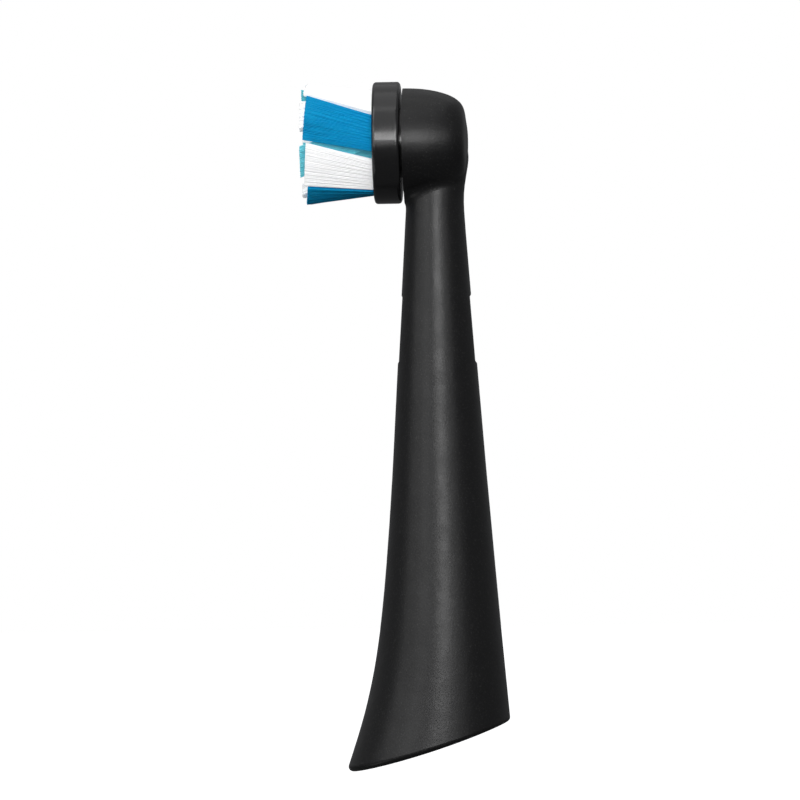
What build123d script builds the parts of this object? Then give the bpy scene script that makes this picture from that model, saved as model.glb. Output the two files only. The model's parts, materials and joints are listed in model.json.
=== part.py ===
"""Replacement head for an oscillating electric toothbrush, as an assembly of its separate pieces.

A round brush disc turns to and fro on a steel axle in the barrel of a hollow plastic housing. A drive rod slides
up and down inside the neck: its steel pin sits off the axle's centre in a slot of the disc's hub, so the rod's
stroke turns the disc. A magnet at the rod's foot couples it to the handle's drive shaft, and a coil spring brings
it back to the middle of its stroke. The handle's metal stub pushes into the socket insert.

Frame, in millimetres: +Z up the neck, the bristles point to -Y. The origin is on the neck's axis, at the start of
the socket's round wall, which the handle's stub enters from below.
"""

from build123d import *

import math
import os

# ---- driving dimensions ----
HEAD_Z = 60.0  # height of the disc's axle
SWING_DEG = 20.0  # the disc's greatest turn each way
RUNNING = 0.04  # radial clearance of a turning or sliding fit
SEATED = 0.02  # clearance round a piece that is glued, welded or pressed in

# Housing: each station is (z, front, back, half width), where front is measured towards -Y.
STATIONS = [
    (-19.0, 12.56, 8.92, 8.96),
    (-12.0, 10.44, 8.29, 8.42),
    (-6.0, 8.76, 7.80, 7.86),
    (0.0, 7.64, 7.29, 7.32),
    (8.0, 6.69, 6.65, 6.60),
    (20.0, 5.69, 5.72, 5.65),
    (32.0, 4.90, 4.86, 4.85),
    (43.0, 4.14, 4.07, 4.07),
    (50.5, 3.65, 3.57, 3.57),
    (54.0, 3.42, 3.54, 3.35),
    (56.5, 3.24, 3.93, 3.22),
    (59.0, 3.08, 4.04, 3.05),
]
WALL, CAVITY_TOP_Z = 1.2, 57.5
RIM_RADIUS = 170.0  # the skirt's rim is a slanting cut with this gentle curve, seen from the side
RIM_LOW = (-11.6, -16.09)  # (y, z) of the rim's front tip
RIM_HIGH = (8.3, -9.94)  # (y, z) of the rim at the back
RIM_FILLET = 0.55
FLAT_Z, FLAT_HEIGHT, FLAT_DEPTHS = 37.4, 7.8, (0.15, 0.27)  # shallow flats on the neck's front and back

# Barrel at the top of the housing, round the disc's axle.
BARREL_R, BARREL_FRONT_Y, BARREL_BACK_Y = 6.56, -3.7, 4.1
BARREL_BORE_R, CHAMBER_STEP_Y, CHAMBER_END_Y = 5.2, 0.0, 2.7
BARREL_BLEND = 1.4  # fillet where the neck meets the barrel
BOSS_R, BOSS_FRONT_Y = 1.2, 1.45

# Brush disc.
DISC_R, DISC_FRONT_Y, DISC_BACK_Y, DISC_EDGE = 7.37, -7.28, -4.0, 0.4
HUB_R, HUB_BACK_Y = 4.2, -0.8
PLATE_R, PLATE_FRONT_Y, PLATE_BACK_Y = 6.92, -7.1, -5.85

# Axle and its retaining ring.
AXLE_R, AXLE_FRONT_Y, AXLE_BACK_Y = 0.6, -5.5, 3.2
GROOVE_R, RING_R, RING_FRONT_Y, RING_BACK_Y = 0.4, 1.5, -5.2, -4.85

# Drive rod, its pin and its magnet.
CRANK = 2.2  # the pin's distance from the axle's centre
PIN_R, PIN_FRONT_Y, SLOT_FLOOR_Y = 0.5, -2.6, -2.9
ARM_FRONT_Y, ARM_BACK_Y, ARM_HALF_WIDTH, EYE_R = -0.3, 1.1, 0.7, 0.85
ARM_BEND = (0.45, 56.0)  # (x, z) where the arm turns aside from the neck's axis
ROD_R, ROD_TOP_Z = 1.45, 54.2
CUP_R, CUP_FOOT_Z, CUP_TOP_Z, CUP_CONE_Z = 2.8, 13.0, 17.0, 19.0
MAGNET_R, MAGNET_HEIGHT, MAGNET_RECESS = 2.0, 2.0, 0.2
COLLAR_R, COLLAR_Z, COLLAR_HEIGHT = 3.8, 20.5, 1.2
UPPER_BUSH_Z, LOWER_BUSH_Z, BUSH_HEIGHT, BUSH_SLIT = 41.0, 27.0, 3.5, 0.8

# Socket insert, its grip ring and the return spring.
STUB_R, SOCKET_DEPTH, LEAD_IN = 4.2, 10.0, 0.3
INSERT_TOP_Z, DRIVE_HOLE_R = 11.5, 2.6
KEYWAY_WIDTH, KEYWAY_DEPTH, KEYWAY_TOP_Z = 1.6, 0.8, 4.0
TAB_X, TAB_Z, TAB_SIZE = 5.75, 7.0, 2.2
GRIP_Z, GRIP_HEIGHT, GRIP_INNER_R, GRIP_OUTER_R, GRIP_GAP_DEG = 6.0, 0.7, 4.26, 4.76, 50
SPRING_R, SPRING_WIRE_R, SPRING_TURNS = 3.35, 0.2, 6

# Bristle tufts: (inner, outer) radii of each ring at the face and at the tips, the height of the tips, and their
# angles in degrees, from +X towards +Z. The outer tufts lean round the disc one way and the middle ones the other.
# The outer ring is the same after half a turn, so half of it is listed: each tuft's edges at the face and at the tips.
OUTER_EDGES = [
    ((28.0, -13.3), (51.9, 1.5)),
    ((-23.6, -65.9), (-1.1, -46.8)),
    ((-69.0, -107.5), (-48.8, -88.5)),
    ((-111.0, -149.5), (-91.0, -126.0)),
]
OUTER_BASE, OUTER_TIP, OUTER_TIP_Y = (5.45, 6.50), (6.78, 7.45), -15.57
OUTER_COLOURS = ("blue", "outer_white", "blue", "outer_white", "blue", "outer_white", "outer_white", "outer_white")
MIDDLE_COUNT, MIDDLE_FIRST, MIDDLE_SPAN, MIDDLE_TWISTS = 6, 13.8, 36.5, (-37.0, -43.0)
MIDDLE_BASE, MIDDLE_TIP, MIDDLE_TIP_Y = (4.10, 5.25), (5.10, 6.75), -16.0
MIDDLE_COLOURS = ("turquoise", "middle_white")
INNER_RING = dict(count=6, base_at=2.85, base_r=1.05, tip_at=3.35, tip_r=1.3, first=20.0, twist=20.0, tip_y=-15.7)
CENTRE_TUFT = dict(base_r=1.45, tip_r=1.85, tip_y=-15.9)
TUFT_CORNER = 0.12
TUFT_STEPS = 4  # sections between face and tip, so that each tuft's sides stay straight along its bristles

os.makedirs("parts", exist_ok=True)


def save(shape, name):
    """Writes one sub-part to its own STEP file."""
    export_step(shape, f"parts/{name}.step")


def cylinder_y(radius, y_from, y_to, x=0.0):
    """A cylinder along Y between two Y values, by default on the disc's axle."""
    return Pos(x, (y_from + y_to) / 2, HEAD_Z) * Rot(90, 0, 0) * Cylinder(radius, y_to - y_from)


def cylinder_z(radius, z_from, z_to):
    """A cylinder on the neck's axis between two heights."""
    return Pos(0, 0, (z_from + z_to) / 2) * Cylinder(radius, z_to - z_from)


def slab(z_from, z_to, size=60.0):
    """A wide block between two heights, for slicing."""
    return Pos(0, 0, (z_from + z_to) / 2) * Box(size, size, z_to - z_from)


def face_plane(y):
    """A sketch plane across the disc's axis, seen from the front: its x is +X and its y is +Z."""
    return Plane(origin=(0, y, HEAD_Z), x_dir=(1, 0, 0), z_dir=(0, -1, 0))


def polar(radius, degrees):
    """A point of a sketch plane from its distance and angle."""
    return Vector(radius * math.cos(math.radians(degrees)), radius * math.sin(math.radians(degrees)))


# ---- housing ----


def neck_form(inset=0.0):
    """The smooth tapering form of the neck and skirt, drawn in by inset on every side."""
    sections = []
    for z, front, back, half_width in STATIONS:
        middle = (back - front) / 2
        depth = (back + front) / 2 - inset
        sections.append(Pos(0, middle, z) * Ellipse(half_width - inset, depth))
    return loft(sections)


def inside_rim():
    """The large cylinder across the object whose wall is the curved, slanting cut of the skirt's rim."""
    (y0, z0), (y1, z1) = RIM_LOW, RIM_HIGH
    chord = math.hypot(y1 - y0, z1 - z0)
    reach = math.sqrt(RIM_RADIUS**2 - (chord / 2) ** 2)
    slope = math.atan2(z1 - z0, y1 - y0)
    centre = (0, (y0 + y1) / 2 - reach * math.sin(slope), (z0 + z1) / 2 + reach * math.cos(slope))
    return Pos(*centre) * Rot(0, 90, 0) * Cylinder(RIM_RADIUS, 60)


def spin_round_axle(outline):
    """Spins an outline of (y, radius) points round the disc's axle."""
    return Pos(0, 0, HEAD_Z) * Rot(0, 0, 90) * revolve(outline, axis=Axis.X, revolution_arc=360)


def barrel_form(front_y):
    """The barrel with its domed back, starting at front_y."""
    edge = Line((front_y, BARREL_R), (BARREL_FRONT_Y, BARREL_R))
    dome = Spline(
        (BARREL_FRONT_Y, BARREL_R), (0.9, 6.00), (2.7, 5.20), (3.5, 4.33), (3.87, 2.75), (BARREL_BACK_Y, 0),
        tangents=[(1, 0), (0, -1)],
    )
    close = Polyline((BARREL_BACK_Y, 0), (front_y, 0), (front_y, BARREL_R))
    return spin_round_axle(make_face(Wire([edge, dome, *close.edges()])))


def barrel_chamber():
    """The hollow of the barrel, which narrows towards the domed back wall."""
    front_y = BARREL_FRONT_Y - 1
    outline = Polyline(
        (front_y, 0), (front_y, BARREL_BORE_R), (CHAMBER_STEP_Y, BARREL_BORE_R),
        (1.9, BARREL_BORE_R - 1), (CHAMBER_END_Y, BARREL_BORE_R - 2), (CHAMBER_END_Y, 0), close=True,
    )
    return spin_round_axle(make_face(outline))


def neck_flats():
    """The cutters of the shallow flats on the neck's front and back, which follow its taper."""
    (z_under, under, _, _), (z_over, over, _, _) = STATIONS[6], STATIONS[7]
    taper = (under - over) / (z_over - z_under)
    z_low, z_high = FLAT_Z - FLAT_HEIGHT / 2, FLAT_Z + FLAT_HEIGHT / 2
    cutters = []
    for side, depth in zip((-1, 1), FLAT_DEPTHS):
        low = under - taper * (z_low - z_under) - depth
        high = under - taper * (z_high - z_under) - depth
        outline = Polyline(
            (side * (low + 0.3), z_low - 0.4), (side * low, z_low), (side * high, z_high),
            (side * (high + 0.3), z_high + 0.4), (side * 9, z_high), (side * 9, z_low), close=True,
        )
        cutters.append(extrude(Plane.YZ * make_face(outline), 6, both=True))
    return cutters


def snap_tabs(clearance=0.0):
    """The insert's two snap tabs, or with a clearance the pockets in the housing that hold them."""
    size = TAB_SIZE + 2 * clearance
    tabs = [Pos(side * (TAB_X + clearance - 1), 0, TAB_Z) * Box(2, size, size) for side in (-1, 1)]
    return tabs[0] + tabs[1]


def make_housing():
    """The one-piece casing: barrel, neck and flared skirt."""
    outer = neck_form() + barrel_form(front_y=-9.0)
    seam = [e for e in outer.edges() if 51 < e.bounding_box().min.Z and e.bounding_box().max.Z < 59]
    outer = fillet(seam, BARREL_BLEND)
    outer -= Pos(0, BARREL_FRONT_Y - 10, HEAD_Z) * Box(30, 20, 18.5)
    hollow = neck_form(WALL) & slab(-30, CAVITY_TOP_Z)
    shell = (outer - hollow) & inside_rim()
    rim = [e for e in shell.edges() if e.bounding_box().max.Z < -8 and e.length > 30]
    shell = fillet(rim, RIM_FILLET)
    shell -= barrel_chamber()
    shell += cylinder_y(BOSS_R, BOSS_FRONT_Y, CHAMBER_END_Y + 0.3)
    shell -= cylinder_y(AXLE_R + SEATED, BOSS_FRONT_Y - 1, AXLE_BACK_Y)
    shell -= snap_tabs(0.05)
    for cutter in neck_flats():
        shell -= cutter
    return shell


# ---- pieces fixed in the housing ----


def socket_wall_groove(inner_r, outer_r, z_from, z_to):
    """A ring-shaped space in the insert's wall."""
    return cylinder_z(outer_r, z_from, z_to) - cylinder_z(inner_r, z_from - 1, z_to + 1)


def make_socket_insert():
    """The moulded socket that the handle's metal stub pushes into."""
    body = neck_form(WALL + SEATED) & slab(-LEAD_IN, INSERT_TOP_Z)
    body += snap_tabs()
    body -= cylinder_z(STUB_R, -1, SOCKET_DEPTH)
    body -= cylinder_z(DRIVE_HOLE_R, SOCKET_DEPTH - 1, INSERT_TOP_Z + 1)
    body -= Pos(0, 0, -LEAD_IN / 2) * Cone(STUB_R + LEAD_IN, STUB_R, LEAD_IN)
    body -= socket_wall_groove(STUB_R - 0.5, GRIP_OUTER_R + 0.05, GRIP_Z - 0.05, GRIP_Z + GRIP_HEIGHT + 0.05)
    keyway = Box(KEYWAY_WIDTH, STUB_R + KEYWAY_DEPTH, KEYWAY_TOP_Z + 1)
    body -= Pos(0, -(STUB_R + KEYWAY_DEPTH) / 2, (KEYWAY_TOP_Z - 1) / 2) * keyway
    return body


def make_grip_ring():
    """The open spring-steel ring that snaps onto the handle's stub, drawn as it lies in its groove."""
    ring = socket_wall_groove(GRIP_INNER_R, GRIP_OUTER_R, GRIP_Z, GRIP_Z + GRIP_HEIGHT)
    gap = 2 * GRIP_OUTER_R * math.sin(math.radians(GRIP_GAP_DEG / 2))
    return ring - Pos(0, GRIP_OUTER_R, GRIP_Z) * Box(gap, GRIP_OUTER_R, 4)


def make_bush(z_from):
    """A split plastic bush that guides the drive rod in the neck."""
    body = neck_form(WALL + SEATED) & slab(z_from, z_from + BUSH_HEIGHT)
    body -= cylinder_z(ROD_R + RUNNING, z_from - 1, z_from + BUSH_HEIGHT + 1)
    return body - Pos(0, 5, z_from) * Box(BUSH_SLIT, 10, 3 * BUSH_HEIGHT)


def make_return_spring():
    """The coil spring between the insert and the rod's collar."""
    bottom = INSERT_TOP_Z + SPRING_WIRE_R + SEATED
    height = COLLAR_Z - SPRING_WIRE_R - SEATED - bottom
    path = Helix(pitch=height / SPRING_TURNS, height=height, radius=SPRING_R)
    wire = Plane(origin=path @ 0, z_dir=path % 0) * Circle(SPRING_WIRE_R)
    return Pos(0, 0, bottom) * sweep(wire, path=path, is_frenet=True)


def make_pivot_axle():
    """The steel axle, with a groove near its front end for the retaining ring."""
    axle = cylinder_y(AXLE_R, AXLE_FRONT_Y, AXLE_BACK_Y)
    ends = axle.edges().filter_by(GeomType.CIRCLE)
    axle = chamfer(ends, 0.12)
    groove = cylinder_y(AXLE_R + 1, RING_FRONT_Y, RING_BACK_Y) - cylinder_y(GROOVE_R, RING_FRONT_Y, RING_BACK_Y)
    return axle - groove


def make_retaining_ring():
    """The open ring that snaps into the axle's groove and keeps the disc on it."""
    front_y, back_y = RING_FRONT_Y + SEATED, RING_BACK_Y - SEATED
    ring = cylinder_y(RING_R, front_y, back_y) - cylinder_y(GROOVE_R + SEATED, front_y - 1, back_y + 1)
    return ring - Pos(0, front_y, HEAD_Z + RING_R) * Box(0.7, 3, 2 * RING_R)


# ---- brush disc ----


def pin_slot():
    """The radial slot in the hub's back that the drive pin works in."""
    far = math.hypot(CRANK, CRANK * math.tan(math.radians(SWING_DEG)))
    slot_r = PIN_R + RUNNING - 0.005
    length = far - CRANK + 2 * (slot_r + 0.03)
    outline = Pos((CRANK + far) / 2, 0) * SlotOverall(length, 2 * slot_r)
    return extrude(face_plane(HUB_BACK_Y + 1) * outline, abs(SLOT_FLOOR_Y - HUB_BACK_Y) + 1)


def make_carrier():
    """The disc that carries the bristles, with the hub that turns on the axle."""
    disc = cylinder_y(DISC_R, DISC_FRONT_Y, DISC_BACK_Y)
    disc = fillet(disc.edges().filter_by(GeomType.CIRCLE), DISC_EDGE)
    hub = cylinder_y(HUB_R, DISC_BACK_Y - 1, HUB_BACK_Y)
    hub = chamfer(hub.edges().filter_by(GeomType.CIRCLE).sort_by(Axis.Y)[-1], 0.4)
    body = disc + hub
    body -= cylinder_y(PLATE_R + SEATED, DISC_FRONT_Y - 1, PLATE_BACK_Y)
    body -= cylinder_y(RING_R + 0.4, DISC_FRONT_Y, RING_BACK_Y + 0.05)
    body -= cylinder_y(AXLE_R + RUNNING, DISC_FRONT_Y, HUB_BACK_Y + 1)
    return body - pin_slot()


def blend(start, end, share):
    """The point a share of the way from start to end."""
    return start + (end - start) * share


def sector_points(radii, edge_a, edge_b):
    """Three points along the inner edge and three along the flatter outer edge of a ring tuft's section."""
    inner_r, outer_r = radii
    middle, half = (edge_a + edge_b) / 2, abs(edge_a - edge_b) / 2
    crown = outer_r * (1 + 2 * math.cos(math.radians(half))) / 3
    low, high = middle - half, middle + half
    inner = [polar(inner_r, low), polar(inner_r, middle), polar(inner_r, high)]
    return inner + [polar(outer_r, high), polar(crown, middle), polar(outer_r, low)]


def sector_section(points, y, margin=0.0):
    """The section of a ring tuft at one height, with rounded corners."""
    a, b, c, d, e, f = points
    edges = [ThreePointArc(a, b, c), Line(c, d), ThreePointArc(d, e, f), Line(f, a)]
    outline = make_face(Wire(edges))
    outline = fillet(outline.vertices(), TUFT_CORNER)
    if margin:
        outline = offset(outline, margin)
    return face_plane(y) * outline


def ring_tuft(base_radii, base_edges, tip_radii, tip_edges, tip_y):
    """One tuft of a ring, and the hole in the plate that it stands in."""
    base, tip = sector_points(base_radii, *base_edges), sector_points(tip_radii, *tip_edges)
    sections = []
    for step in range(TUFT_STEPS + 1):
        share = step / TUFT_STEPS
        points = [blend(start, end, share) for start, end in zip(base, tip)]
        sections.append(sector_section(points, PLATE_FRONT_Y + (tip_y - PLATE_FRONT_Y) * share))
    thickness = PLATE_BACK_Y - PLATE_FRONT_Y
    root = extrude(sector_section(base, PLATE_FRONT_Y), -thickness)
    hole = extrude(sector_section(base, PLATE_FRONT_Y - 1, SEATED), -thickness - 2)
    return loft(sections, ruled=True) + root, hole


def turned(edges, degrees):
    """A pair of edge angles, turned round the disc."""
    return edges[0] + degrees, edges[1] + degrees


def round_tuft(base_at, base_r, tip_at, tip_r, base_deg, tip_deg, tip_y):
    """One round tuft, and the hole in the plate that it stands in."""
    base = face_plane(PLATE_FRONT_Y) * Pos(*polar(base_at, base_deg)) * Circle(base_r)
    tip = face_plane(tip_y) * Pos(*polar(tip_at, tip_deg)) * Circle(tip_r)
    thickness = PLATE_BACK_Y - PLATE_FRONT_Y
    hole_outline = face_plane(PLATE_FRONT_Y - 1) * Pos(*polar(base_at, base_deg)) * Circle(base_r + SEATED)
    return loft([base, tip], ruled=True) + extrude(base, -thickness), extrude(hole_outline, -thickness - 2)


def next_name(taken, colour):
    """The next free tuft name of that colour."""
    count = sum(name.startswith(colour) for name in taken)
    return f"{colour}_tuft_{count + 1}"


def make_outer_ring():
    """The outer tufts and their holes, by name."""
    ring = {}
    for index, colour in enumerate(OUTER_COLOURS):
        base, tip = OUTER_EDGES[index % len(OUTER_EDGES)]
        half_turn = -180 * (index // len(OUTER_EDGES))
        tuft = ring_tuft(OUTER_BASE, turned(base, half_turn), OUTER_TIP, turned(tip, half_turn), OUTER_TIP_Y)
        ring[next_name(ring, colour)] = tuft
    return ring


def make_middle_ring():
    """The middle tufts and their holes, by name."""
    ring = {}
    for index in range(MIDDLE_COUNT):
        middle = MIDDLE_FIRST - index * 360 / MIDDLE_COUNT
        base = (middle + MIDDLE_SPAN / 2, middle - MIDDLE_SPAN / 2)
        tip = turned(base, MIDDLE_TWISTS[index % 2])
        tuft = ring_tuft(MIDDLE_BASE, base, MIDDLE_TIP, tip, MIDDLE_TIP_Y)
        ring[next_name(ring, MIDDLE_COLOURS[index % 2])] = tuft
    return ring


def make_inner_tufts():
    """The round tufts in the middle of the disc and their holes, by name."""
    ring, centre, tufts = INNER_RING, CENTRE_TUFT, {}
    for index in range(ring["count"]):
        base_deg = ring["first"] + index * 360 / ring["count"]
        tufts[f"inner_tuft_{index + 1}"] = round_tuft(
            ring["base_at"], ring["base_r"], ring["tip_at"], ring["tip_r"],
            base_deg, base_deg + ring["twist"], ring["tip_y"],
        )
    tufts["centre_tuft"] = round_tuft(0, centre["base_r"], 0, centre["tip_r"], 0, 0, centre["tip_y"])
    return tufts


def make_tuft_plate(holes):
    """The plate in the disc's face that holds the tufts."""
    plate = cylinder_y(PLATE_R, PLATE_FRONT_Y, PLATE_BACK_Y)
    for hole in holes:
        plate -= hole
    return plate


# ---- drive ----


def arm_outline():
    """The arm's outline, seen from the front, from the rod's top round the pin's eye."""
    foot, bend, eye = (0, ROD_TOP_Z - 1.2), ARM_BEND, (CRANK, HEAD_Z)
    lower = make_hull(
        (Pos(*foot) * Circle(ARM_HALF_WIDTH)).edges() + (Pos(*bend) * Circle(ARM_HALF_WIDTH)).edges()
    )
    upper = make_hull((Pos(*bend) * Circle(ARM_HALF_WIDTH)).edges() + (Pos(*eye) * Circle(EYE_R)).edges())
    return lower + upper


def make_drive_rod():
    """The rod that carries the handle's stroke up the neck, with its magnet cup, collar and crank arm."""
    body = cylinder_z(CUP_R, CUP_FOOT_Z, CUP_TOP_Z)
    body += Pos(0, 0, (CUP_TOP_Z + CUP_CONE_Z) / 2) * Cone(CUP_R, ROD_R, CUP_CONE_Z - CUP_TOP_Z)
    body += cylinder_z(ROD_R, CUP_CONE_Z, ROD_TOP_Z)
    body += cylinder_z(COLLAR_R, COLLAR_Z, COLLAR_Z + COLLAR_HEIGHT)
    arm_plane = Plane(origin=(0, ARM_FRONT_Y, 0), x_dir=(1, 0, 0), z_dir=(0, -1, 0))
    body += extrude(arm_plane * arm_outline(), -(ARM_BACK_Y - ARM_FRONT_Y))
    body -= cylinder_z(MAGNET_R + SEATED, CUP_FOOT_Z - 1, CUP_FOOT_Z + MAGNET_RECESS + MAGNET_HEIGHT)
    return body - cylinder_y(PIN_R + SEATED, ARM_FRONT_Y - 1, ARM_BACK_Y + 1, x=CRANK)


def make_coupling_pin():
    """The steel pin in the arm's eye, which works in the hub's slot."""
    pin = cylinder_y(PIN_R, PIN_FRONT_Y, ARM_BACK_Y, x=CRANK)
    return chamfer(pin.edges().filter_by(GeomType.CIRCLE), 0.1)


def make_drive_magnet():
    """The magnet in the rod's foot that the handle's drive shaft holds."""
    foot = CUP_FOOT_Z + MAGNET_RECESS
    magnet = cylinder_z(MAGNET_R, foot, foot + MAGNET_HEIGHT)
    return chamfer(magnet.edges().filter_by(GeomType.CIRCLE), 0.15)


def main():
    made = make_outer_ring() | make_middle_ring() | make_inner_tufts()
    tufts = {name: tuft for name, (tuft, _) in made.items()}
    holes = [hole for _, hole in made.values()]
    pieces = {
        "housing": make_housing(),
        "socket_insert": make_socket_insert(),
        "grip_ring": make_grip_ring(),
        "lower_guide_bush": make_bush(LOWER_BUSH_Z),
        "upper_guide_bush": make_bush(UPPER_BUSH_Z),
        "return_spring": make_return_spring(),
        "pivot_axle": make_pivot_axle(),
        "retaining_ring": make_retaining_ring(),
        "carrier": make_carrier(),
        "tuft_plate": make_tuft_plate(holes),
        "drive_rod": make_drive_rod(),
        "coupling_pin": make_coupling_pin(),
        "drive_magnet": make_drive_magnet(),
    }
    for name, solid in (pieces | tufts).items():
        save(solid, name)


main()
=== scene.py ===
"""Looks for an electric toothbrush's replacement head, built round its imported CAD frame.

Each CAD tuft becomes a bundle of separate nylon filaments that fill the tuft's form. Every other piece keeps
its CAD shape and gets a procedural plastic, steel or nickel. Units are metres, in the frame's own axes: +Z up
the neck, and the bristles point to -Y.
"""

import json
import math
import random

import bpy
from mathutils import Matrix, Vector


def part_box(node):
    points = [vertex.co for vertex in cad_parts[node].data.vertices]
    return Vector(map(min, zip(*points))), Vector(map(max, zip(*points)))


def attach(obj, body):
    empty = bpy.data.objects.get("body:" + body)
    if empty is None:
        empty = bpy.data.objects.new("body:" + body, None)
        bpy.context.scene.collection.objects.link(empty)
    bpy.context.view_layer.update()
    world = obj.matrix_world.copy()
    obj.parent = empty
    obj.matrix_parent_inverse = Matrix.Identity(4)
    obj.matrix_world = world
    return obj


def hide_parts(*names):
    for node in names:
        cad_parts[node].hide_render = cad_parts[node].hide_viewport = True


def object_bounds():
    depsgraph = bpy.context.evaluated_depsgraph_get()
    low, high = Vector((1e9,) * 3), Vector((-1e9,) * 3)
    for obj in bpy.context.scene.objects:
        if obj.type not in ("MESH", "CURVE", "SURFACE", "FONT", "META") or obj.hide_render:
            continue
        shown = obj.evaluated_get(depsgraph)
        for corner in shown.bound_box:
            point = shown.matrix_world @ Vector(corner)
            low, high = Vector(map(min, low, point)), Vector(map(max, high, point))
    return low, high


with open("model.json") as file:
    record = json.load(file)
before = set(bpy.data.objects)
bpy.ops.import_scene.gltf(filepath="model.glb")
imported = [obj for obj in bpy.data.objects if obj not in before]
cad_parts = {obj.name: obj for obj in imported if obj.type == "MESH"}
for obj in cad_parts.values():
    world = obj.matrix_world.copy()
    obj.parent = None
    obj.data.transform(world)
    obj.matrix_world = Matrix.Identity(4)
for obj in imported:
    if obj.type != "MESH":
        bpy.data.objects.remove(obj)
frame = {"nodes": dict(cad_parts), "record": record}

MM = 0.001
SEED = 11
NODES = frame["nodes"]
SLOT_OF = {part["node"]: part["material_slot"] for part in frame["record"]["subparts"]}
CAD_BOX = [list(corner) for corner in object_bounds()]
LOW, HIGH = (Vector(corner) for corner in CAD_BOX)
DISC_LOW, DISC_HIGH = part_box("carrier")
AXIS_Z = (DISC_LOW.z + DISC_HIGH.z) / 2  # height of the axis that the disc turns on


def toward(azimuth, elevation):
    """The unit vector to a place round the object: azimuth 0 is its front, -Y, and 90 is +X."""
    az, el = math.radians(azimuth), math.radians(elevation)
    return Vector((math.sin(az) * math.cos(el), -math.cos(az) * math.cos(el), math.sin(el)))


def add_object(name, data):
    """A new object in the scene."""
    thing = bpy.data.objects.new(name, data)
    bpy.context.scene.collection.objects.link(thing)
    return thing


def add_mesh(name, vertices, faces, material):
    """A new mesh object with one material."""
    mesh = bpy.data.meshes.new(name)
    mesh.from_pydata(vertices, [], faces)
    mesh.materials.append(material)
    return add_object(name, mesh)


# ---- camera ----

VIEW_AZIMUTH = 92.5  # seen from +X, turned a little towards the back
VIEW_ROLL = -0.9
CAMERA_DISTANCE = 0.605
FRAME_WIDTH = 0.0968  # how much of the object's own plane the square frame takes in
SENSOR_WIDTH = 36  # in millimetres, as Blender states it
AIM_FROM_DISC = Vector((0, 2.65 * MM, -31.12 * MM))  # from the middle of the disc's face


def add_camera():
    """The camera at the viewing angle, with a long lens."""
    data = bpy.data.cameras.new("camera")
    data.sensor_width = SENSOR_WIDTH
    data.lens = SENSOR_WIDTH * CAMERA_DISTANCE / FRAME_WIDTH
    camera = add_object("camera", data)
    outward = toward(VIEW_AZIMUTH, 0)
    camera.location = Vector((0, DISC_LOW.y, AXIS_Z)) + AIM_FROM_DISC + outward * CAMERA_DISTANCE
    camera.rotation_mode = "QUATERNION"
    roll = Matrix.Rotation(math.radians(VIEW_ROLL), 3, "Z").to_quaternion()
    camera.rotation_quaternion = (-outward).to_track_quat("-Z", "Y") @ roll
    bpy.context.scene.camera = camera


# ---- lights and surroundings ----

LIGHT_DISTANCE = 0.5
LIGHTS = [
    # name, azimuth, elevation, width, height, power
    ("key", 97, 12, 0.20, 0.15, 0.75),
    ("key_wide", 112, 14, 0.42, 0.26, 0.40),
    ("left", 60, 14, 0.24, 0.30, 0.47),
    ("far_left", 30, 14, 0.24, 0.30, 0.28),
    ("top_front", 92, 48, 0.45, 0.40, 0.28),
    ("top", 92, 84, 0.45, 0.40, 0.34),
    ("top_far", 272, 60, 0.45, 0.36, 0.12),
    ("fill_high", 42, 50, 0.25, 0.25, 0.35),
    ("fill_low", 25, -32, 0.25, 0.20, 0.15),
]
SKY, GROUND = 0.22, 0.085  # strength of the surroundings' light from above and from below
HORIZON = 0.1  # how far above and below level the one passes into the other
DAYLIGHT = (0.97, 0.98, 1.0, 1)
WHITE = (1, 1, 1, 1)

FLOOR_HALF = 3.0
FLOOR_DROP = 0.12  # well below the head, so that it casts no shadow there
FLOOR_GLOW = 0.95  # makes the ground and the background one white


def add_light(name, azimuth, elevation, width, height, power):
    """A soft rectangular lamp that faces the object's middle."""
    data = bpy.data.lights.new(name, "AREA")
    data.shape = "RECTANGLE"
    data.size, data.size_y = width, height
    data.energy = power
    lamp = add_object(name, data)
    outward = toward(azimuth, elevation)
    lamp.location = (LOW + HIGH) / 2 + outward * LIGHT_DISTANCE
    lamp.rotation_euler = (-outward).to_track_quat("-Z", "Y").to_euler()
    lamp.visible_camera = False


def background(nodes, color, strength):
    """A background shader of one colour."""
    shader = nodes.new("ShaderNodeBackground")
    shader.inputs["Color"].default_value = color
    shader.inputs["Strength"].default_value = strength
    return shader


def light_by_height(nodes, links):
    """GROUND for directions below the horizon and SKY for those above it."""
    direction = nodes.new("ShaderNodeTexCoord")
    split = nodes.new("ShaderNodeSeparateXYZ")
    links.new(direction.outputs["Generated"], split.inputs[0])
    strength = nodes.new("ShaderNodeMapRange")
    strength.inputs["From Min"].default_value = -HORIZON
    strength.inputs["From Max"].default_value = HORIZON
    strength.inputs["To Min"].default_value = GROUND
    strength.inputs["To Max"].default_value = SKY
    links.new(split.outputs["Z"], strength.inputs["Value"])
    return strength.outputs["Result"]


def add_world():
    """White to the camera, and a dim light on the object that is stronger from above."""
    world = bpy.data.worlds.new("studio")
    bpy.context.scene.world = world
    world.use_nodes = True
    nodes, links = world.node_tree.nodes, world.node_tree.links
    nodes.clear()
    seen = background(nodes, WHITE, 1.0)
    lit = background(nodes, DAYLIGHT, SKY)
    links.new(light_by_height(nodes, links), lit.inputs["Strength"])
    path = nodes.new("ShaderNodeLightPath")
    mix = nodes.new("ShaderNodeMixShader")
    links.new(path.outputs["Is Camera Ray"], mix.inputs[0])
    links.new(lit.outputs[0], mix.inputs[1])
    links.new(seen.outputs[0], mix.inputs[2])
    out = nodes.new("ShaderNodeOutputWorld")
    links.new(mix.outputs[0], out.inputs[0])


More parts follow.
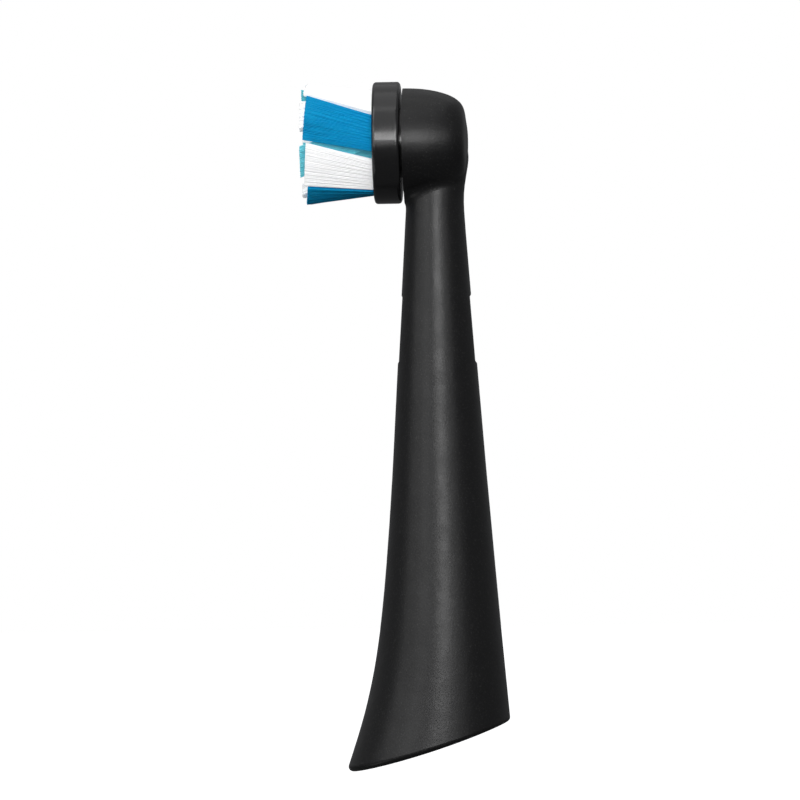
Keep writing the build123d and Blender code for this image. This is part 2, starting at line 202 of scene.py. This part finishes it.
def add_floor():
    """A plain pale floor that neither lights the object nor shows in it."""
    maker = Maker("floor", srgb(250, 250, 250), roughness=0.8)
    maker.drive("Base Color", maker.tint(maker.noise(4 * MM), srgb(250, 250, 250), srgb(248, 248, 248)))
    maker.set(Emission_Color=WHITE, Emission_Strength=FLOOR_GLOW)
    h, z = FLOOR_HALF, LOW.z - FLOOR_DROP
    corners = [(-h, -h, z), (h, -h, z), (h, h, z), (-h, h, z)]
    floor = add_mesh("floor", corners, [(0, 1, 2, 3)], maker.material)
    floor.visible_glossy = False
    floor.visible_diffuse = False


# ---- materials ----


def srgb(red, green, blue):
    """Linear colour from 0-255 screen values."""
    def linear(value):
        value /= 255
        return value / 12.92 if value <= 0.04045 else ((value + 0.055) / 1.055) ** 2.4
    return (linear(red), linear(green), linear(blue), 1.0)


class Maker:
    """A material on a Principled shader, with short calls for the nodes that the materials share."""

    def __init__(self, name, color, roughness, metallic=0.0):
        self.material = bpy.data.materials.new(name)
        self.material.use_nodes = True
        self.nodes = self.material.node_tree.nodes
        self.links = self.material.node_tree.links
        self.shader = self.nodes["Principled BSDF"]
        self.roughness = roughness
        self.set(Base_Color=color, Roughness=roughness, Metallic=metallic)
        self.coordinates = self.nodes.new("ShaderNodeTexCoord").outputs["Object"]

    def set(self, **values):
        """Sets the shader's sockets, whose names have _ for each space."""
        for name, value in values.items():
            self.shader.inputs[name.replace("_", " ")].default_value = value

    def drive(self, name, value):
        """Links value to the shader's socket."""
        self.links.new(value, self.shader.inputs[name])

    def noise(self, size, detail=2.0, stretch=(1, 1, 1)):
        """Noise whose grains are about size across."""
        mapping = self.nodes.new("ShaderNodeMapping")
        mapping.inputs["Scale"].default_value = stretch
        self.links.new(self.coordinates, mapping.inputs["Vector"])
        texture = self.nodes.new("ShaderNodeTexNoise")
        texture.inputs["Scale"].default_value = 1 / size
        texture.inputs["Detail"].default_value = detail
        self.links.new(mapping.outputs["Vector"], texture.inputs["Vector"])
        return texture.outputs["Fac"]

    def ramp(self, value, low, high, from_low=0.35, from_high=0.65):
        """Noise between from_low and from_high, spread from low to high."""
        spread = self.nodes.new("ShaderNodeMapRange")
        spread.inputs["From Min"].default_value = from_low
        spread.inputs["From Max"].default_value = from_high
        spread.inputs["To Min"].default_value = low
        spread.inputs["To Max"].default_value = high
        self.links.new(value, spread.inputs["Value"])
        return spread.outputs["Result"]

    def tint(self, value, first, second):
        """A colour between first and second by value."""
        mix = self.nodes.new("ShaderNodeMix")
        mix.data_type = "RGBA"
        mix.inputs["A"].default_value = first
        mix.inputs["B"].default_value = second
        self.links.new(value, mix.inputs["Factor"])
        return mix.outputs["Result"]

    def vary_roughness(self, value, less, more):
        """Roughness that runs from less below its plain value to more above it."""
        self.drive("Roughness", self.ramp(value, self.roughness - less, self.roughness + more))

    def bump(self, value, height, below=None):
        """Relief of that height, on top of the relief below it if there is one."""
        node = self.nodes.new("ShaderNodeBump")
        node.inputs["Strength"].default_value = 1.0
        node.inputs["Distance"].default_value = height
        self.links.new(value, node.inputs["Height"])
        if below is not None:
            self.links.new(below, node.inputs["Normal"])
        self.drive("Normal", node.outputs["Normal"])
        return node.outputs["Normal"]


GLINT_SPECK_SIZE, GRAIN_SIZE, MOTTLE_SIZE = 0.16 * MM, 0.26 * MM, 2.5 * MM
GLINT_SPECK_FROM, GLINT_SPECK_TO = 0.62, 0.72  # only the noise's peaks become painted glints
MOTTLE_DEPTH = 1.5  # times the height of the grain


def black_plastic(name, roughness, grain_height, painted_glint_lift, specular):
    """Black moulded plastic with a fine grain, and painted glints: specks in its colour that are lighter by
    the given number of levels.
    """
    maker = Maker(name, srgb(18, 18, 19), roughness)
    maker.set(Specular_IOR_Level=specular)
    # painted glints: lighter specks in the base colour stand for the glints of the grain
    glint_speck_noise = maker.noise(GLINT_SPECK_SIZE, detail=1.0)
    painted_glints = maker.ramp(glint_speck_noise, 0.0, 1.0, from_low=GLINT_SPECK_FROM, from_high=GLINT_SPECK_TO)
    lighter = 18 + painted_glint_lift
    maker.drive("Base Color", maker.tint(painted_glints, srgb(17, 17, 18), srgb(lighter, lighter, lighter)))
    mottle = maker.noise(MOTTLE_SIZE, detail=3.0)
    maker.vary_roughness(mottle, 0.03, 0.03)
    grain = maker.bump(maker.noise(GRAIN_SIZE, detail=3.0), grain_height)
    maker.bump(mottle, grain_height * MOTTLE_DEPTH, below=grain)
    return maker.material


def moulded_plastic(name, color, other, roughness):
    """Plain moulded plastic of the inner pieces, with soft flow marks along Z."""
    maker = Maker(name, color, roughness)
    flow = maker.noise(1.8 * MM, detail=3.0, stretch=(1, 1, 0.25))
    maker.drive("Base Color", maker.tint(flow, color, other))
    maker.vary_roughness(flow, 0.05, 0.05)
    maker.bump(maker.noise(0.15 * MM), 0.004 * MM)
    return maker.material


def drawn_metal(name, color, other, roughness, stretch):
    """Ground or drawn metal, with fine lines along the axis that stretch makes the longest."""
    maker = Maker(name, color, roughness, metallic=1.0)
    lines = maker.noise(0.08 * MM, detail=3.0, stretch=stretch)
    maker.drive("Base Color", maker.tint(lines, color, other))
    maker.vary_roughness(lines, 0.06, 0.08)
    maker.bump(lines, 0.003 * MM)
    return maker.material


def bristle_nylon(name, color, other, painted_glow):
    """Translucent nylon filaments that vary a little along Y. The glow is painted light: emission that stands
    in for light scattered inside them.
    """
    maker = Maker(name, color, roughness=0.45)
    # painted light: the glow is emission that makes the filaments brighter than the lamps light them
    maker.set(Emission_Color=color, Emission_Strength=painted_glow, Specular_IOR_Level=0.12)
    maker.set(Subsurface_Weight=0.25, Subsurface_Radius=(0.4 * MM, 0.4 * MM, 0.5 * MM), Subsurface_Scale=1.0)
    strands = maker.noise(0.3 * MM, detail=2.0, stretch=(1, 0.08, 1))
    maker.drive("Base Color", maker.tint(maker.ramp(strands, 0, 1), color, other))
    maker.vary_roughness(strands, 0.05, 0.1)
    maker.bump(maker.noise(0.05 * MM, stretch=(1, 0.1, 1)), 0.002 * MM)
    return maker.material


def make_materials():
    """One material for each slot of the record."""
    return {
        "black_shell": black_plastic("black_shell", 0.37, 0.011 * MM, painted_glint_lift=24, specular=0.38),
        "black_disc": black_plastic("black_disc", 0.22, 0.002 * MM, painted_glint_lift=10, specular=0.72),
        "inner_plastic": moulded_plastic("inner_plastic", srgb(70, 72, 74), srgb(84, 86, 88), 0.45),
        "rod_plastic": moulded_plastic("rod_plastic", srgb(226, 225, 220), srgb(238, 237, 233), 0.4),
        "axle_steel": drawn_metal(
            "axle_steel", srgb(190, 191, 193), srgb(165, 166, 168), 0.25, stretch=(1, 0.1, 1)
        ),
        "spring_steel": drawn_metal(
            "spring_steel", srgb(178, 179, 182), srgb(150, 151, 154), 0.3, stretch=(1, 1, 0.3)
        ),
        "magnet_plating": drawn_metal(
            "magnet_plating", srgb(205, 204, 200), srgb(188, 187, 184), 0.18, stretch=(1, 1, 1)
        ),
        "blue_bristle": bristle_nylon(
            "blue_bristle", srgb(0, 158, 216), srgb(0, 149, 208), painted_glow=0.0
        ),
        "white_bristle": bristle_nylon(
            "white_bristle", srgb(252, 252, 253), srgb(247, 248, 248), painted_glow=0.17
        ),
        "turquoise_bristle": bristle_nylon(
            "turquoise_bristle", srgb(124, 216, 230), srgb(104, 206, 223), painted_glow=0.08
        ),
    }


# ---- bristles ----

FILAMENT_R = 0.075 * MM
FILAMENT_PITCH = 0.152 * MM
FILAMENT_SIDES = 6
SHOULDER, SHOULDER_WIDTH = 1.2, 1.0  # a filament's last full ring: from its tip, and across, in radii
ROUNDING, ROUNDING_WIDTH = 0.3, 0.75  # the smaller ring of its rounded end
ROOT_JITTER, TIP_JITTER, LENGTH_JITTER = 0.015 * MM, 0.03 * MM, 0.06 * MM
TIP_SLANT = 0.42 * MM  # the outer tufts' ends are cut a little aslant
ROOT_SINK = 0.3 * MM  # how far the filaments start below the disc's face
SAME_LEVEL = 0.01 * MM
FACE_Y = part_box("tuft_plate")[0].y


def level_points(node, y):
    """The (x, z) places of a CAD tuft's vertices at one height, from the disc's axis."""
    vertices = (v.co for v in NODES[node].data.vertices)
    return sorted({(co.x, co.z - AXIS_Z) for co in vertices if abs(co.y - y) < SAME_LEVEL})


def cross(a, b, c):
    """Positive where c lies to the left of the line from a to b."""
    return (b[0] - a[0]) * (c[1] - a[1]) - (b[1] - a[1]) * (c[0] - a[0])


def hull(points):
    """The convex outline of sorted points, counter-clockwise."""
    def half(run):
        line = []
        for p in run:
            while len(line) > 1 and cross(line[-2], line[-1], p) <= 0:
                line.pop()
            line.append(p)
        return line[:-1]
    return half(points) + half(points[::-1])


def inside(outline, point, margin):
    """True if the point lies inside the outline, by at least margin."""
    sides = zip(outline, outline[1:] + outline[:1])
    return all(cross(a, b, point) >= margin * math.dist(a, b) for a, b in sides)


def turned(point, angle):
    """The point turned about the disc's axis."""
    c, s = math.cos(angle), math.sin(angle)
    return point[0] * c - point[1] * s, point[0] * s + point[1] * c


class RingForm:
    """One end of a ring tuft: a patch of a ring with a flattened outside.

    A place in it is a pair of shares: -1 to 1 across its angle, and 0 to 1 from the inside to the outside.
    """

    MIDDLE_PART = 0.4  # the share of the angle in which the flattened outside's height is read

    def __init__(self, points):
        ahead = math.atan2(sum(z for _, z in points), sum(x for x, _ in points))
        angles = [math.atan2(z, x) for x, z in (turned(p, -ahead) for p in points)]
        centre = (min(angles) + max(angles)) / 2
        self.middle = ahead + centre
        self.half = (max(angles) - min(angles)) / 2
        radii = [math.hypot(*p) for p in points]
        self.inner, self.outer = min(radii), max(radii)
        reach = self.half * self.MIDDLE_PART
        at_middle = [r for r, angle in zip(radii, angles) if abs(angle - centre) < reach]
        self.crown = max(at_middle, default=self.outer)

    def depth_at(self, across):
        """From the inside to the flattened outside."""
        return self.outer - (self.outer - self.crown) * (1 - across**2) - self.inner

    def shares(self, point):
        x, z = turned(point, -self.middle)
        across = math.atan2(z, x) / self.half
        return across, (math.hypot(x, z) - self.inner) / self.depth_at(across)

    def place(self, across, depth):
        angle = self.middle + across * self.half
        radius = self.inner + depth * self.depth_at(across)
        return radius * math.cos(angle), radius * math.sin(angle)

    def spread(self, shares):
        """Shares stretched so that the outermost filaments lie just inside the form's edges."""
        widest = max(abs(across) for across, _ in shares)
        shallow, deep = min(depth for _, depth in shares), max(depth for _, depth in shares)
        side = 1 - FILAMENT_R / (self.half * self.outer)
        skin = FILAMENT_R / (self.crown - self.inner)
        return [
            (across / widest * side, skin + (depth - shallow) / (deep - shallow) * (1 - 2 * skin))
            for across, depth in shares
        ]


class RoundForm:
    """One end of a round tuft: a disc. A place in it is a pair of shares of its radius."""

    inner = 0  # no hollow in its middle

    def __init__(self, points):
        xs, zs = [p[0] for p in points], [p[1] for p in points]
        self.x, self.z = (min(xs) + max(xs)) / 2, (min(zs) + max(zs)) / 2
        self.radius = (max(xs) - min(xs)) / 2

    def shares(self, point):
        return (point[0] - self.x) / self.radius, (point[1] - self.z) / self.radius

    def place(self, across, depth):
        return self.x + across * self.radius, self.z + depth * self.radius

    def spread(self, shares):
        """Shares stretched so that the outermost filaments lie just inside the form's edge."""
        scale = (1 - FILAMENT_R / self.radius) / max(math.hypot(*share) for share in shares)
        return [(across * scale, depth * scale) for across, depth in shares]


def filament_starts(points, form):
    """Close-packed places over one end of a tuft."""
    outline = hull(points)
    hollow = form.inner + FILAMENT_R / 2 if form.inner else 0
    row_step = FILAMENT_PITCH * math.sqrt(3) / 2
    x_low, x_high = min(p[0] for p in points), max(p[0] for p in points)
    z_low, z_high = min(p[1] for p in points), max(p[1] for p in points)
    places = []
    for row in range(int((z_high - z_low) / row_step) + 2):
        for column in range(int((x_high - x_low) / FILAMENT_PITCH) + 2):
            place = (x_low + (column + 0.5 * (row % 2)) * FILAMENT_PITCH, z_low + row * row_step)
            if inside(outline, place, FILAMENT_R / 2) and math.hypot(*place) >= hollow:
                places.append(place)
    return places


def add_filament(vertices, faces, root, tip):
    """One filament: a slim six-sided strand with a rounded end."""
    along = (tip - root).normalized()
    side = along.cross(Vector((1, 0, 0))).normalized()
    other = along.cross(side)
    length = (tip - root).length
    rings = [
        (0, 1.0),
        (length - SHOULDER * FILAMENT_R, SHOULDER_WIDTH),
        (length - ROUNDING * FILAMENT_R, ROUNDING_WIDTH),
    ]
    first = len(vertices)
    for distance, width in rings:
        for k in range(FILAMENT_SIDES):
            angle = 2 * math.pi * k / FILAMENT_SIDES
            spoke = side * math.cos(angle) + other * math.sin(angle)
            vertices.append(root + along * distance + spoke * FILAMENT_R * width)
    vertices.append(tip)
    for ring in range(len(rings)):
        start = first + ring * FILAMENT_SIDES
        for k in range(FILAMENT_SIDES):
            a, b = start + k, start + (k + 1) % FILAMENT_SIDES
            if ring == len(rings) - 1:
                faces.append((a, b, len(vertices) - 1))
            else:
                faces.append((a, b, b + FILAMENT_SIDES, a + FILAMENT_SIDES))


def jitter(dice, size):
    """A small random step in the plane of the disc's face."""
    return Vector((dice.uniform(-1, 1), 0, dice.uniform(-1, 1))) * size


def make_bristles(node, material, dice):
    """The filaments that stand for one CAD tuft."""
    tip_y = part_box(node)[0].y
    form = RoundForm if node.startswith(("inner", "centre")) else RingForm
    slant = TIP_SLANT if node.startswith(("blue", "outer")) else 0
    roots = level_points(node, FACE_Y)
    root_form, tip_form = form(roots), form(level_points(node, tip_y))
    places = filament_starts(roots, root_form)
    shares = tip_form.spread([root_form.shares(place) for place in places])
    vertices, faces = [], []
    for (x, z), share in zip(places, shares):
        tip_x, tip_z = tip_form.place(*share)
        root = Vector((x, FACE_Y + ROOT_SINK, z + AXIS_Z)) + jitter(dice, ROOT_JITTER)
        tip = Vector((tip_x, tip_y, tip_z + AXIS_Z)) + jitter(dice, TIP_JITTER)
        tip.y += dice.uniform(0, 1) * LENGTH_JITTER + slant * (1 + share[0]) / 2
        add_filament(vertices, faces, root, tip)
    piece = add_mesh(f"{node}_filaments", vertices, faces, material)
    piece.data.shade_smooth()
    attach(piece, "brush")
    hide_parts(node)


# ---- putting it together ----


def dress_cad_nodes(materials):
    """Gives each CAD node its slot's material."""
    for name, node in NODES.items():
        node.data.materials.clear()
        node.data.materials.append(materials[SLOT_OF[name]])


def add_all_bristles(materials):
    """Filaments in the place of every CAD tuft."""
    dice = random.Random(SEED)
    for name in sorted(NODES):
        if "tuft" in name and name != "tuft_plate":
            make_bristles(name, materials[SLOT_OF[name]], dice)


add_camera()
add_world()
for light in LIGHTS:
    add_light(*light)
materials = make_materials()
dress_cad_nodes(materials)
add_all_bristles(materials)
add_floor()
bpy.context.scene.view_settings.view_transform = "Standard"

bpy.context.view_layer.update()
